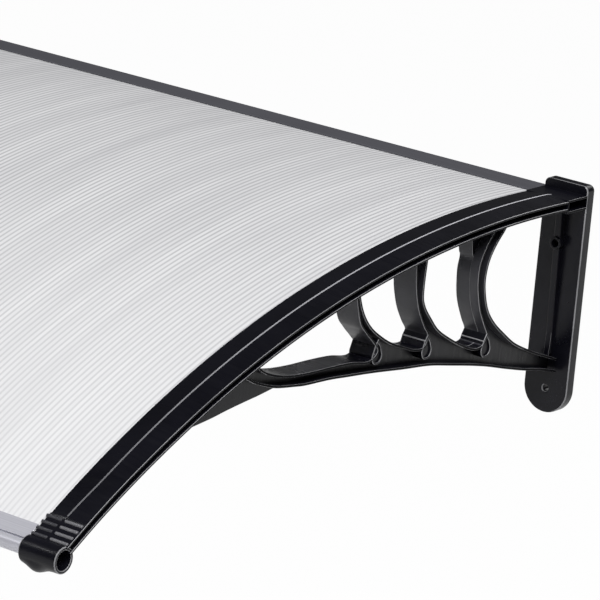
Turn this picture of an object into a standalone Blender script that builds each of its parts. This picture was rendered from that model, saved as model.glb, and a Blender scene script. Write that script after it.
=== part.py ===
"""Door canopy, in metres, +Z up, with the wall behind it at Y = 0 and the roof reaching out along -Y.

A bent twin-wall sheet sits between two moulded brackets. Each bracket is one moulding: a wall plate, a
curved roof beam that is slotted on both sides, a lattice below it and a round nose. An aluminium bar closes
the sheet at the wall and another, with a tube on it, at the front. The origin is the middle of the rear
bar's back face. Side outlines are written as (out, up), where out is the distance from the wall.
"""
from functools import lru_cache
from math import cos, floor, hypot, pi, radians, sin

import bmesh
import bpy
from mathutils import Matrix, Vector

# Fits
GAP = 0.0003

# Roof arc: the line along the beam's upper edge, from the wall plate to the nose
CANOPY_WIDTH = 1.200
ARC_RUN = 0.794
ARC_SEGMENTS = 10
WALL_SLOPE = radians(-2.9)
WALL_RADIUS = 1.426
FRONT_RADIUS = 1.056

# Rear bar, an extrusion with a closed back and two lips that hold the sheet
REAR_BAR_HEIGHT = 0.0084
REAR_BAR_DEPTH = 0.031
REAR_BAR_BELOW_ARC = 0.0002
REAR_BACK_WALL = 0.0016
REAR_TOP_LIP = 0.0010
REAR_LOWER_LIP = 0.0011
REAR_STOP_WALL = 0.0016

# Wall plate
PLATE_WIDTH = 0.051
PLATE_THICKNESS = 0.012
PLATE_HEIGHT = 0.2346
PLATE_ABOVE_ARC = 0.0113
PLATE_CORNER = 0.006
PLATE_EDGE = 0.001
UPPER_HOLE_DROP = 0.0609
UPPER_HOLE_RADIUS = 0.004
LOWER_HOLE_DROP = 0.2117
LOWER_HOLE_RADIUS = 0.0035
BOSS_RADIUS = 0.0065
BOSS_REACH = 0.010
RIB_WIDTH = 0.007
RIB_REACH_TOP = 0.009
RIB_REACH_LOW = 0.003
RIB_LENGTH = 0.156

# Roof beam of the bracket
BEAM_WIDTH_WALL = 0.0506
BEAM_WIDTH_FRONT = 0.0405
SIDE_SET_BACK = 0.0002
FLANGE = 0.0021
CREASE_HEIGHT = 0.0022
CREASE_LEAST = 0.0001
CREASE_STARTS = 0.015
CREASE_FULL = 0.033
CREASE_BEFORE_NOSE = 0.037
CREASE_FADE = 0.004
BEAM_WEB = 0.008

# Block where the beam meets the plate, with a pocket each side for the rear bar's end
BLOCK_REACH = 0.032
POCKET_REACH = 0.030
BLOCK_WALL = 0.0022

# Nose, which reaches further on the bracket's inner side, and the pad with the grip ridges
NOSE_RADIUS = 0.0123
NOSE_INNER = 0.0240
NOSE_OUTER = 0.0178
NOSE_DROP = 0.0085
COUNTERBORE_RADIUS = 0.0093
KNOB_RADIUS = 0.0112
KNOB_DROP = 0.0064
KNOB_INNER = 0.0185
KNOB_OUTER = 0.0005
RIDGE_COUNT = 4
RIDGE_PITCH = 0.0073
RIDGE_RADIUS = 0.0017
RIDGE_SUNK = 0.0003
RIDGE_INNER_LENGTH = 0.0177
RIDGE_OUTER_LENGTH = 0.0201
RIDGE_SETBACK = 0.0110
PAD_LENGTH = 0.037
PAD_INNER = 0.0225
PAD_THICKNESS = 0.0018

# Lattice below the beam
LATTICE_WIDTH = 0.027
LATTICE_DEPTH = 0.180
LATTICE_WEB = 0.006
LATTICE_FLANGE = 0.0024
RIM_SET_BACK = 0.0001
GUSSET_THICKNESS = 0.0056
FOOT_BOSS_RADIUS = 0.0058
FOOT_HOLE_RADIUS = 0.004
FOOT_HOLE_DEPTH = 0.002

# Twin-wall sheet, with the webs drawn further apart than the real 6 mm to keep the solid light
SHEET_THICKNESS = 0.0045
SHEET_SKIN = 0.0005
FLUTE_PITCH = 0.018
FLUTE_WEB = 0.0005
SHEET_SIDE_PLAY = 0.001
SHEET_END_PLAY = 0.0005

# Front bar
FRONT_LIP = 0.0130
FRONT_LIP_THICKNESS = 0.0011
FRONT_BACK_WALL = 0.0035
FRONT_SETBACK = 0.0047
TUBE_RADIUS = 0.007
TUBE_WALL = 0.0014
TUBE_PAST_WEB = 0.0

# Screw that locks the rear bar in each bracket
SCREW_RADIUS = 0.0016
SCREW_HEAD_RADIUS = 0.0033
SCREW_HEAD_HEIGHT = 0.0019
SCREW_RECESS = 0.0009
SCREW_RECESS_DEPTH = 0.0011
SCREW_FROM_WEB = 0.011

# Worked out from the sizes above
ARC_HEIGHT = REAR_BAR_HEIGHT / 2 + REAR_BAR_BELOW_ARC
BRACKET_X = (CANOPY_WIDTH - PLATE_WIDTH) / 2
SLOT_HEIGHT = SHEET_THICKNESS + 2 * GAP
BEAM_DEPTH = 2 * FLANGE + SLOT_HEIGHT
PLATE_TOP = ARC_HEIGHT + PLATE_ABOVE_ARC
BEAM_END = ARC_RUN - 0.5 * NOSE_RADIUS
CREASE_ENDS = ARC_RUN - CREASE_BEFORE_NOSE
INSIDE = 0.004
PAST = 0.004
ROUND = 28
SLIVER = 5e-6
FLAT_ANGLE = radians(0.1)

# Openings of the lattice and its outer edges, each point as shares of ARC_RUN and LATTICE_DEPTH
OPENING_REAR = [
    (0.139, 0.020), (0.149, 0.089), (0.166, 0.161), (0.179, 0.239), (0.185, 0.333), (0.183, 0.422),
    (0.175, 0.517), (0.159, 0.600), (0.134, 0.683), (0.103, 0.767), (0.057, 0.844), (0.021, 0.889),
    (-0.005, 0.920)]
OPENING_SECOND = [
    (0.204, 0.020), (0.199, 0.183), (0.196, 0.225), (0.200, 0.300), (0.199, 0.420), (0.194, 0.500),
    (0.184, 0.590), (0.175, 0.660), (0.183, 0.706), (0.199, 0.711), (0.220, 0.678), (0.243, 0.628),
    (0.266, 0.567), (0.285, 0.506), (0.300, 0.428), (0.314, 0.335), (0.316, 0.245), (0.306, 0.020)]
OPENING_THIRD = [
    (0.332, 0.020), (0.333, 0.194), (0.331, 0.283), (0.326, 0.367), (0.316, 0.456), (0.308, 0.515),
    (0.315, 0.567), (0.334, 0.556), (0.358, 0.506), (0.382, 0.450), (0.402, 0.385), (0.422, 0.300),
    (0.435, 0.205), (0.441, 0.100), (0.440, 0.020)]
OPENING_FRONT = [
    (0.450, 0.020), (0.446, 0.222), (0.435, 0.311), (0.422, 0.385), (0.413, 0.450), (0.432, 0.474),
    (0.465, 0.422), (0.504, 0.372), (0.547, 0.317), (0.583, 0.256), (0.610, 0.189), (0.630, 0.111),
    (0.640, 0.020)]
LOWER_EDGE = [
    (-0.006, 1.000), (0.035, 0.967), (0.078, 0.939), (0.125, 0.894), (0.173, 0.839), (0.249, 0.756),
    (0.301, 0.694), (0.351, 0.644), (0.389, 0.600), (0.467, 0.500), (0.510, 0.439), (0.555, 0.378),
    (0.577, 0.339), (0.607, 0.278), (0.625, 0.228), (0.645, 0.161), (0.661, 0.089), (0.668, 0.055)]
GUSSET_EDGE = [
    (0.580, 0.325), (0.621, 0.294), (0.644, 0.272), (0.686, 0.228), (0.713, 0.200), (0.746, 0.156),
    (0.777, 0.106), (0.801, 0.055)]
GUSSET_REAR = [(0.645, 0.075), (0.632, 0.140), (0.612, 0.215), (0.592, 0.275)]
FEET = [(0.170, 0.733), (0.306, 0.600), (0.408, 0.483)]
CURVE_STEPS = 2

# Side outlines: drawn x is out from the wall, drawn y is up, drawn z is across the canopy
SIDE = Matrix(((0, 0, -1, 0), (-1, 0, 0, 0), (0, 1, 0, 0), (0, 0, 0, 1)))
# Front outlines: drawn x is across, drawn y is up, drawn z is towards the front
FRONT = Matrix(((1, 0, 0, 0), (0, 0, -1, 0), (0, 1, 0, 0), (0, 0, 0, 1)))


def clear_scene():
    for obj in list(bpy.data.objects):
        bpy.data.objects.remove(obj, do_unlink=True)


def new_collection(name):
    collection = bpy.data.collections.new(name)
    bpy.context.scene.collection.children.link(collection)
    return collection


def plastic_or_metal(name, colour, roughness, metallic=0.0, alpha=1.0):
    material = bpy.data.materials.new(name)
    material.use_nodes = True
    shader = material.node_tree.nodes["Principled BSDF"]
    shader.inputs["Base Color"].default_value = (*colour, 1.0)
    shader.inputs["Roughness"].default_value = roughness
    shader.inputs["Metallic"].default_value = metallic
    shader.inputs["Alpha"].default_value = alpha
    return material


@lru_cache(maxsize=None)
def arc_place(run):
    """Place (out, up) and slope below level of the roof arc at a length from the wall plate."""
    change = 1 / FRONT_RADIUS - 1 / WALL_RADIUS

    def slope(at):
        return WALL_SLOPE + at / WALL_RADIUS + change * at * at / (2 * ARC_RUN)

    steps = 64
    step = run / steps
    out, up = PLATE_THICKNESS, ARC_HEIGHT
    for index in range(steps):
        middle = slope((index + 0.5) * step)
        out += cos(middle) * step
        up -= sin(middle) * step
    return out, up, slope(run)


def square_to_arc(run, above):
    out, up, slope = arc_place(run)
    return out + above * sin(slope), up + above * cos(slope)


def on_arc(run, above=0.0):
    """The point above the roof arc at a length from the wall plate, with the arc as straight segments."""
    if not 0 < run < ARC_RUN:
        return square_to_arc(run, above)
    length = ARC_RUN / ARC_SEGMENTS
    index = min(floor(run / length), ARC_SEGMENTS - 1)
    share = run / length - index
    start = square_to_arc(index * length, above)
    end = square_to_arc((index + 1) * length, above)
    return start[0] + share * (end[0] - start[0]), start[1] + share * (end[1] - start[1])


def arc_stations(start, end, extra=()):
    """The lengths from start to end where the arc's straight segments meet."""
    joints = [ARC_RUN * index / ARC_SEGMENTS for index in range(ARC_SEGMENTS + 1)]
    inner = [at for at in (*joints, *extra) if start + 1e-4 < at < end - 1e-4]
    return [start, *sorted(inner), end]


def smooth(points, steps=CURVE_STEPS):
    """A curve through the points, with a few steps between each two."""
    before = [tuple(2 * a - b for a, b in zip(points[0], points[1]))]
    after = [tuple(2 * a - b for a, b in zip(points[-1], points[-2]))]
    padded = before + list(points) + after
    curve = []
    for p0, p1, p2, p3 in zip(padded, padded[1:], padded[2:], padded[3:]):
        for step in range(steps):
            t = step / steps
            curve.append(tuple(
                0.5 * (2 * b + (c - a) * t + (2 * a - 5 * b + 4 * c - d) * t * t
                       + (3 * b - a - 3 * c + d) * t ** 3)
                for a, b, c, d in zip(p0, p1, p2, p3)))
    return curve + [tuple(points[-1])]


def beside(curve, distance):
    """The curve moved sideways, to its left where distance is positive."""
    moved = []
    for index, (x, y) in enumerate(curve):
        ahead = curve[min(index + 1, len(curve) - 1)]
        behind = curve[max(index - 1, 0)]
        dx, dy = ahead[0] - behind[0], ahead[1] - behind[1]
        length = hypot(dx, dy)
        moved.append((x - distance * dy / length, y + distance * dx / length))
    return moved


def lattice_curve(shares):
    return smooth([on_arc(a * ARC_RUN, -b * LATTICE_DEPTH) for a, b in shares])


def extruded(name, outlines, half, placed):
    """A flat outline, or one with holes, as a mesh that is thickened both ways from its plane."""
    curve = bpy.data.curves.new(name, "CURVE")
    curve.dimensions = "2D"
    curve.fill_mode = "BOTH"
    curve.extrude = half
    for outline in outlines:
        spline = curve.splines.new("POLY")
        spline.points.add(len(outline) - 1)
        for point, (x, y) in zip(spline.points, outline):
            point.co = (x, y, 0, 1)
        spline.use_cyclic_u = True
    drawn = bpy.data.objects.new(name + "_drawn", curve)
    bpy.context.scene.collection.objects.link(drawn)
    drawn.matrix_world = placed
    bpy.context.view_layer.update()
    mesh = bpy.data.meshes.new_from_object(drawn.evaluated_get(bpy.context.evaluated_depsgraph_get()))
    mesh.transform(placed)
    bpy.data.objects.remove(drawn, do_unlink=True)
    return welded(name, mesh)


def welded(name, mesh):
    shape = bmesh.new()
    shape.from_mesh(mesh)
    bmesh.ops.remove_doubles(shape, verts=shape.verts, dist=1e-6)
    bmesh.ops.recalc_face_normals(shape, faces=shape.faces)
    shape.to_mesh(mesh)
    shape.free()
    return in_tools(bpy.data.objects.new(name, mesh))


def in_tools(obj):
    """Puts a shape with the ones that only build others."""
    TOOLS.objects.link(obj)
    obj.hide_render = True
    obj.display_type = "WIRE"
    return obj


def shifted(placed, x=0.0, y=0.0, z=0.0):
    return Matrix.Translation((x, y, z)) @ placed


def box(name, low, high):
    mesh = bpy.data.meshes.new(name)
    shape = bmesh.new()
    bmesh.ops.create_cube(shape, size=1.0)
    size = Vector(high) - Vector(low)
    centre = (Vector(high) + Vector(low)) / 2
    bmesh.ops.transform(
        shape, matrix=Matrix.Translation(centre) @ Matrix.Diagonal((*size, 1)), verts=shape.verts)
    shape.to_mesh(mesh)
    shape.free()
    return in_tools(bpy.data.objects.new(name, mesh))


def rod(name, radius, start, end, sides=ROUND):
    """A round bar from start to end."""
    start, end = Vector(start), Vector(end)
    mesh = bpy.data.meshes.new(name)
    shape = bmesh.new()
    turn = (end - start).to_track_quat("Z", "Y").to_matrix().to_4x4()
    bmesh.ops.create_cone(
        shape, cap_ends=True, segments=sides, radius1=radius, radius2=radius,
        depth=(end - start).length, matrix=Matrix.Translation((start + end) / 2) @ turn)
    shape.to_mesh(mesh)
    shape.free()
    return in_tools(bpy.data.objects.new(name, mesh))


def bent(name, outlines, start, end, extra=(), reshape=None):
    """A section (across, above the arc) run along the roof arc and bent to it segment by segment."""
    blank = extruded(name, outlines, (end - start) / 2, shifted(FRONT, y=-(start + end) / 2))
    shape = bmesh.new()
    shape.from_mesh(blank.data)
    caps = [face for face in shape.faces if abs(face.normal.y) > 0.5]
    inner = [edge for edge in shape.edges if all(face in caps for face in edge.link_faces)]
    bmesh.ops.beautify_fill(shape, faces=caps, edges=inner)
    for at in arc_stations(start, end, extra)[1:-1]:
        everything = list(shape.verts) + list(shape.edges) + list(shape.faces)
        bmesh.ops.bisect_plane(shape, geom=everything, dist=1e-7, plane_co=(0, -at, 0), plane_no=(0, 1, 0))
    for vert in shape.verts:
        across, run, above = vert.co.x, -vert.co.y, vert.co.z
        if reshape:
            across, above = reshape(across, run, above)
        out, up = on_arc(run, above)
        vert.co = (across, -out, up)
    bmesh.ops.recalc_face_normals(shape, faces=shape.faces)
    shape.to_mesh(blank.data)
    shape.free()
    return blank


def settle(target):
    """Makes a shape's modifiers its own mesh, without the slivers that they leave."""
    bpy.context.view_layer.update()
    mesh = bpy.data.meshes.new_from_object(target.evaluated_get(bpy.context.evaluated_depsgraph_get()))
    shape = bmesh.new()
    shape.from_mesh(mesh)
    bmesh.ops.remove_doubles(shape, verts=shape.verts, dist=SLIVER)
    bmesh.ops.dissolve_degenerate(shape, edges=shape.edges, dist=SLIVER)
    bmesh.ops.triangulate(shape, faces=shape.faces)
    shape.to_mesh(mesh)
    shape.free()
    target.modifiers.clear()
    target.data = mesh


def combine(target, tool, operation):
    modifier = target.modifiers.new(tool.name, "BOOLEAN")
    modifier.operation = operation
    modifier.solver = "EXACT"
    modifier.object = tool
    settle(target)


def join(target, *tools):
    for tool in tools:
        combine(target, tool, "UNION")


def cut(target, *tools):
    for tool in tools:
        combine(target, tool, "DIFFERENCE")


def merge_flat_faces(mesh):
    """Takes out the extra edges that Booleans leave in flat faces."""
    shape = bmesh.new()
    shape.from_mesh(mesh)
    bmesh.ops.dissolve_limit(shape, angle_limit=FLAT_ANGLE, verts=shape.verts, edges=shape.edges)
    bmesh.ops.triangulate(shape, faces=shape.faces)
    shape.to_mesh(mesh)
    shape.free()


def as_part(name, source, material, x=0.0, smooth_angle=30.0, merge_flat=True):
    """A finished piece with its own mesh, taken from a shape."""
    settle(source)
    mesh = source.data.copy()
    mesh.name = name
    if merge_flat:
        merge_flat_faces(mesh)
    mesh.materials.clear()
    mesh.materials.append(material)
    mesh.shade_smooth()
    mesh.set_sharp_from_angle(angle=radians(smooth_angle))
    return placed_part(name, mesh, x)


def mirrored(mesh):
    other = mesh.copy()
    other.transform(Matrix.Scale(-1, 4, (1, 0, 0)))
    other.flip_normals()
    return other


def placed_part(name, mesh, x):
    part = bpy.data.objects.new(name, mesh)
    part.location.x = x
    PARTS.objects.link(part)
    return part


def both_sides(low, high):
    """The stretch from low to high across, and its mirror image."""
    return (low, high), (-high, -low)


def plate():
    """Wall plate with a round lower end, and its screw boss, rib and holes."""
    half = PLATE_WIDTH / 2
    centre = PLATE_TOP - PLATE_HEIGHT + half
    corner = half - PLATE_CORNER
    outline = [(half * cos(angle), centre - half * sin(angle))
               for angle in (pi * index / ROUND * 2 for index in range(ROUND // 2 + 1))]
    for side in (-1, 1):
        start = pi if side < 0 else pi / 2
        for index in range(5):
            angle = start - index * pi / 8
            outline.append((side * corner + PLATE_CORNER * cos(angle),
                            PLATE_TOP - PLATE_CORNER + PLATE_CORNER * sin(angle)))
    body = extruded("plate", [outline], PLATE_THICKNESS / 2, shifted(FRONT, y=-PLATE_THICKNESS / 2))
    edge = body.modifiers.new("edge", "BEVEL")
    edge.width = PLATE_EDGE
    edge.segments = 2
    edge.limit_method = "ANGLE"
    edge.angle_limit = radians(60)
    return body


def plate_rib():
    top = ARC_HEIGHT - BEAM_DEPTH
    face = PLATE_THICKNESS
    outline = [(face - INSIDE, top), (face + RIB_REACH_TOP, top),
               (face + RIB_REACH_LOW, top - RIB_LENGTH + RIB_REACH_LOW), (face, top - RIB_LENGTH),
               (face - INSIDE, top - RIB_LENGTH)]
    return extruded("rib", [outline], RIB_WIDTH / 2, SIDE)


def beam_half_width(run):
    share = run / ARC_RUN
    return (BEAM_WIDTH_WALL + (BEAM_WIDTH_FRONT - BEAM_WIDTH_WALL) * share) / 2


def crease_height(run):
    rising = (run - CREASE_STARTS) / (CREASE_FULL - CREASE_STARTS)
    falling = (CREASE_ENDS + CREASE_FADE - run) / CREASE_FADE
    return max(CREASE_LEAST, CREASE_HEIGHT * min(1.0, rising, falling))


def roof_beam():
    """Tapered beam with a low crease along the middle of its top."""
    half = BEAM_WIDTH_WALL / 2
    section = [(-half, -BEAM_DEPTH), (half, -BEAM_DEPTH), (half, 0), (0, CREASE_HEIGHT), (-half, 0)]

    def reshape(across, run, above):
        narrowed = across * beam_half_width(run) / half
        if above > 0.0:
            above = crease_height(run)
        return narrowed, above

    extra = (CREASE_STARTS, CREASE_FULL, CREASE_ENDS, CREASE_ENDS + CREASE_FADE)
    return bent("beam", [section], -INSIDE, BEAM_END, extra, reshape)


def beam_slots():
    """The slots along both sides of the beam, which run through to the nose's bore."""
    top, low = -FLANGE, -FLANGE - SLOT_HEIGHT
    sections = []
    for left, right in both_sides(BEAM_WEB / 2 + SIDE_SET_BACK, PLATE_WIDTH):
        sections.append([(left, low), (right, low), (right, top), (left, top)])
    return bent("slots", sections, 0.0, ARC_RUN)


def wall_block():
    half = PLATE_WIDTH / 2 - SIDE_SET_BACK
    reach = PLATE_THICKNESS + BLOCK_REACH
    low = ARC_HEIGHT - REAR_BAR_BELOW_ARC - REAR_BAR_HEIGHT - GAP - BLOCK_WALL
    high = ARC_HEIGHT - REAR_BAR_BELOW_ARC + GAP + BLOCK_WALL
    return box("block", (-half, -reach, low), (half, -PLATE_THICKNESS + INSIDE, high))


def bar_pockets():
    """The pockets each side of the web that take the rear bar's ends."""
    low = ARC_HEIGHT - REAR_BAR_BELOW_ARC - REAR_BAR_HEIGHT - GAP
    high = ARC_HEIGHT - REAR_BAR_BELOW_ARC + GAP
    reach = PLATE_THICKNESS + POCKET_REACH
    return [box("pocket", (left, -reach, low), (right, -PLATE_THICKNESS, high))
            for left, right in both_sides(BEAM_WEB / 2, PLATE_WIDTH)]


def nose_centre():
    return on_arc(ARC_RUN, -NOSE_DROP)


def across_rod(name, radius, low, high, centre, sides=ROUND):
    """A round bar across the canopy, at a place in the side view."""
    out, up = centre
    return rod(name, radius, (low, -out, up), (high, -out, up), sides)


def ridge_pad():
    """The beam's top where it widens on the inner side, under the grip ridges."""
    top = -SIDE_SET_BACK
    low = top - PAD_THICKNESS
    section = [(-PAD_INNER, low), (0, low), (0, top), (-PAD_INNER, top)]
    return bent("pad", [section], ARC_RUN - PAD_LENGTH, BEAM_END)


def grip_ridges():
    """Two rows of half-round ridges across the front of the beam."""
    ridges = []
    for index in range(RIDGE_COUNT):
        run = ARC_RUN - RIDGE_SETBACK - index * RIDGE_PITCH
        inner, outer = GAP - NOSE_INNER, NOSE_OUTER - GAP
        for low, high in ((inner, inner + RIDGE_INNER_LENGTH), (outer - RIDGE_OUTER_LENGTH, outer)):
            ridges.append(across_rod("ridge", RIDGE_RADIUS, low, high, on_arc(run, -RIDGE_SUNK), 12))
    return ridges


def under_beam(start, end, above):
    """Points along the beam from end back to start, at a height from the roof arc."""
    return [on_arc(at, above) for at in reversed(arc_stations(start * ARC_RUN, end * ARC_RUN))]


def lattice():
    """Lower member and struts: a web, with a rim round each opening and a flange along the lower edge."""
    lower = lattice_curve(LOWER_EDGE)
    top = under_beam(LOWER_EDGE[0][0], LOWER_EDGE[-1][0], FLANGE / 2 - BEAM_DEPTH)
    body = extruded("lattice", [beside(lower, LATTICE_FLANGE / 2) + top], LATTICE_WEB / 2, SIDE)
    join(body, extruded("flange", [lower + beside(lower, LATTICE_FLANGE)[::-1]], LATTICE_WIDTH / 2, SIDE))
    openings = []
    for index, shares in enumerate((OPENING_REAR, OPENING_SECOND, OPENING_THIRD, OPENING_FRONT)):
        edge = lattice_curve(shares)
        lid = [on_arc(shares[-1][0] * ARC_RUN)] if index == 0 else []
        outward = LATTICE_FLANGE if index == 0 else -LATTICE_FLANGE
        grown = beside(edge, outward) + lid
        join(body, extruded("rim", [grown], LATTICE_WIDTH / 2 - RIM_SET_BACK, SIDE))
        openings.append(extruded("opening", [edge + lid], LATTICE_WIDTH, SIDE))
    cut(body, *openings)
    return body


def gusset():
    """Thin web that carries the lower member's line on to the beam."""
    edge = lattice_curve(GUSSET_EDGE)
    upper = under_beam(GUSSET_REAR[0][0], GUSSET_EDGE[-1][0], FLANGE / 2 - BEAM_DEPTH)
    rear = [on_arc(a * ARC_RUN, -b * LATTICE_DEPTH) for a, b in GUSSET_REAR]
    return extruded("gusset", [edge + upper + rear], GUSSET_THICKNESS / 2, SIDE)


def bracket_shape():
    """The whole moulding, on the plane x = 0."""
    body = plate()
    half = PLATE_WIDTH / 2
    reach = PLATE_THICKNESS
    join(body, roof_beam(), wall_block(), plate_rib(), lattice(), gusset())
    hole_top = PLATE_TOP - UPPER_HOLE_DROP
    hole_low = PLATE_TOP - LOWER_HOLE_DROP
    join(body, rod("boss", BOSS_RADIUS, (0, -reach + INSIDE, hole_top), (0, -reach - BOSS_REACH, hole_top)))
    join(body, ridge_pad(), across_rod("nose", NOSE_RADIUS, -NOSE_INNER, NOSE_OUTER, nose_centre()))
    out, up = nose_centre()
    join(body, across_rod("knob", KNOB_RADIUS, -KNOB_INNER, KNOB_OUTER, (out, up - KNOB_DROP)))
    cut(body, rod("upper_hole", UPPER_HOLE_RADIUS, (0, PAST, hole_top),
                  (0, -reach - BOSS_REACH - PAST, hole_top), 24))
    cut(body, rod("lower_hole", LOWER_HOLE_RADIUS, (0, PAST, hole_low), (0, -reach - PAST, hole_low), 24))
    for low, high in both_sides(BEAM_WEB / 2, half):
        cut(body, across_rod("counterbore", COUNTERBORE_RADIUS, low, high, nose_centre()))
    cut(body, across_rod("tube_hole", TUBE_RADIUS + GAP, -half, half, nose_centre()))
    cut(body, beam_slots(), *bar_pockets())
    join(body, *grip_ridges())
    for share_out, share_down in FEET:
        centre = on_arc(share_out * ARC_RUN, -share_down * LATTICE_DEPTH)
        edge = LATTICE_WIDTH / 2
        join(body, across_rod("foot", FOOT_BOSS_RADIUS, -edge, edge, centre, 20))
        for low, high in both_sides(edge - FOOT_HOLE_DEPTH, edge + PAST):
            cut(body, across_rod("foot_hole", FOOT_HOLE_RADIUS, low, high, centre, 16))
    for side in (-1, 1):
        cut(body, screw_hole(side * screw_from_centre()))
    return body


def screw_from_centre():
    return BEAM_WEB / 2 + SCREW_FROM_WEB


def screw_out():
    """How far from the wall the locking screw stands: the middle of the lips in the pocket."""
    return (PLATE_THICKNESS + REAR_BAR_DEPTH) / 2


def screw_hole(x):
    low = ARC_HEIGHT - REAR_BAR_BELOW_ARC - REAR_BAR_HEIGHT - BLOCK_WALL - PAST
    high = ARC_HEIGHT - REAR_BAR_BELOW_ARC - REAR_BAR_HEIGHT + REAR_LOWER_LIP + GAP
    return rod("screw_hole", SCREW_RADIUS + GAP, (x, -screw_out(), low), (x, -screw_out(), high), 16)


def screw_shape():
    """Pan-head screw from below, with its axis at x = 0."""
    top = ARC_HEIGHT - REAR_BAR_BELOW_ARC - REAR_BAR_HEIGHT + REAR_LOWER_LIP + GAP
    seat = ARC_HEIGHT - REAR_BAR_BELOW_ARC - REAR_BAR_HEIGHT - GAP - BLOCK_WALL - GAP
    low = seat - SCREW_HEAD_HEIGHT
    out = screw_out()
    body = rod("screw", SCREW_HEAD_RADIUS, (0, -out, low), (0, -out, seat), 16)
    edge = body.modifiers.new("edge", "BEVEL")
    edge.width = SCREW_HEAD_HEIGHT / 4
    edge.segments = 1
    edge.limit_method = "ANGLE"
    edge.angle_limit = radians(60)
    join(body, rod("shank", SCREW_RADIUS, (0, -out, seat - SCREW_HEAD_HEIGHT / 2), (0, -out, top), 12))
    long, short = SCREW_HEAD_RADIUS * 0.6, SCREW_RECESS / 2
    for dx, dy in ((long, short), (short, long)):
        cut(body, box("recess", (-dx, -out - dy, low - PAST), (dx, -out + dy, low + SCREW_RECESS_DEPTH)))
    return body


def sheet_shape():
    """Bent sheet of two skins and the webs between them, open at its front and rear edges."""
    half = BRACKET_X - BEAM_WEB / 2 - SHEET_SIDE_PLAY
    top = -FLANGE - GAP
    low = top - SHEET_THICKNESS
    outlines = [[(-half, low), (half, low), (half, top), (-half, top)]]
    count = floor((2 * half - FLUTE_WEB) / FLUTE_PITCH)
    first = -count * FLUTE_PITCH / 2
    for index in range(count):
        left = first + index * FLUTE_PITCH + FLUTE_WEB / 2
        right = left + FLUTE_PITCH - FLUTE_WEB
        outlines.append([(left, low + SHEET_SKIN), (right, low + SHEET_SKIN),
                         (right, top - SHEET_SKIN), (left, top - SHEET_SKIN)])
    return bent("sheet", outlines, SHEET_END_PLAY, front_wall() - SHEET_END_PLAY)


def front_wall():
    """Length along the arc of the face that stops the sheet in the front bar."""
    return ARC_RUN - TUBE_RADIUS - FRONT_BACK_WALL


def rear_bar_shape():
    top = ARC_HEIGHT - REAR_BAR_BELOW_ARC
    low = top - REAR_BAR_HEIGHT
    stop = PLATE_THICKNESS - GAP
    under_top, over_low = top - REAR_TOP_LIP, low + REAR_LOWER_LIP
    outline = [(0, low), (REAR_BAR_DEPTH, low), (REAR_BAR_DEPTH, over_low), (stop, over_low),
               (stop, under_top), (REAR_BAR_DEPTH, under_top), (REAR_BAR_DEPTH, top), (0, top)]
    hollow = [(REAR_BACK_WALL, over_low), (stop - REAR_STOP_WALL, over_low),
              (stop - REAR_STOP_WALL, under_top), (REAR_BACK_WALL, under_top)]
    half = BRACKET_X - BEAM_WEB / 2 - GAP
    body = extruded("rear_bar_shape", [outline, hollow], half, SIDE)
    notch = BRACKET_X - PLATE_WIDTH / 2 - GAP
    for left, right in both_sides(notch, half + PAST):
        cut(body, box("notch", (left, -PLATE_THICKNESS - GAP, low - PAST), (right, PAST, top + PAST)))
    for side in (-1, 1):
        cut(body, screw_hole(side * (BRACKET_X - screw_from_centre())))
    return body


def front_bar_shape():
    """Channel that holds the sheet's front edge, with the tube that runs into both noses."""
    wall = front_wall()
    start = wall - FRONT_LIP + FRONT_BACK_WALL / 2
    top = -FLANGE
    low = top - SLOT_HEIGHT
    over, under = top + FRONT_LIP_THICKNESS, low - FRONT_LIP_THICKNESS
    end = ARC_RUN - FRONT_SETBACK
    outline = [(start, over), (wall, over), (end, over), (end, under), (wall, under), (start, under),
               (start, low), (wall, low), (wall, top), (start, top)]
    outline = [on_arc(run, above) for run, above in outline]
    ends = BRACKET_X - NOSE_INNER - GAP
    body = extruded("front_bar_shape", [outline], ends, SIDE)
    tube = BRACKET_X + BEAM_WEB / 2 + TUBE_PAST_WEB
    join(body, across_rod("tube", TUBE_RADIUS, -tube, tube, nose_centre()))
    bore = TUBE_RADIUS - TUBE_WALL
    cut(body, across_rod("tube_bore", bore, -tube - PAST, tube + PAST, nose_centre(), 24))
    return body


clear_scene()
PARTS = new_collection("door_canopy")
TOOLS = new_collection("building_shapes")

black = plastic_or_metal("black_plastic", (0.012, 0.013, 0.016), 0.38)
clear = plastic_or_metal("clear_sheet", (0.85, 0.88, 0.88), 0.15, alpha=0.5)
grey_bar = plastic_or_metal("rear_bar_metal", (0.55, 0.56, 0.58), 0.35, 1.0)
silver_bar = plastic_or_metal("front_bar_metal", (0.60, 0.61, 0.63), 0.30, 1.0)
zinc = plastic_or_metal("screw_metal", (0.60, 0.60, 0.60), 0.30, 1.0)

bracket = as_part("bracket_right", bracket_shape(), black, BRACKET_X)
placed_part("bracket_left", mirrored(bracket.data), -BRACKET_X)
as_part("roof_sheet", sheet_shape(), clear, merge_flat=False)
as_part("rear_bar", rear_bar_shape(), grey_bar)
as_part("front_bar", front_bar_shape(), silver_bar)
screw = as_part("rear_screw_right", screw_shape(), zinc, BRACKET_X - screw_from_centre())
placed_part("rear_screw_left", screw.data, -BRACKET_X + screw_from_centre())
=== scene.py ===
"""Looks of the door canopy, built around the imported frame, in metres.

The wall is behind the part at Y = 0 and the roof reaches out along -Y. Side outlines are written as
(out, up), where out is the distance from the wall. Places on the roof are written as (run, above): the
length along the roof arc from the wall plate, and the height square to the arc.
"""
from math import cos, exp, hypot, pi, radians, sin, sqrt

import bmesh
import bpy
from mathutils import Matrix, Vector

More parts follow.
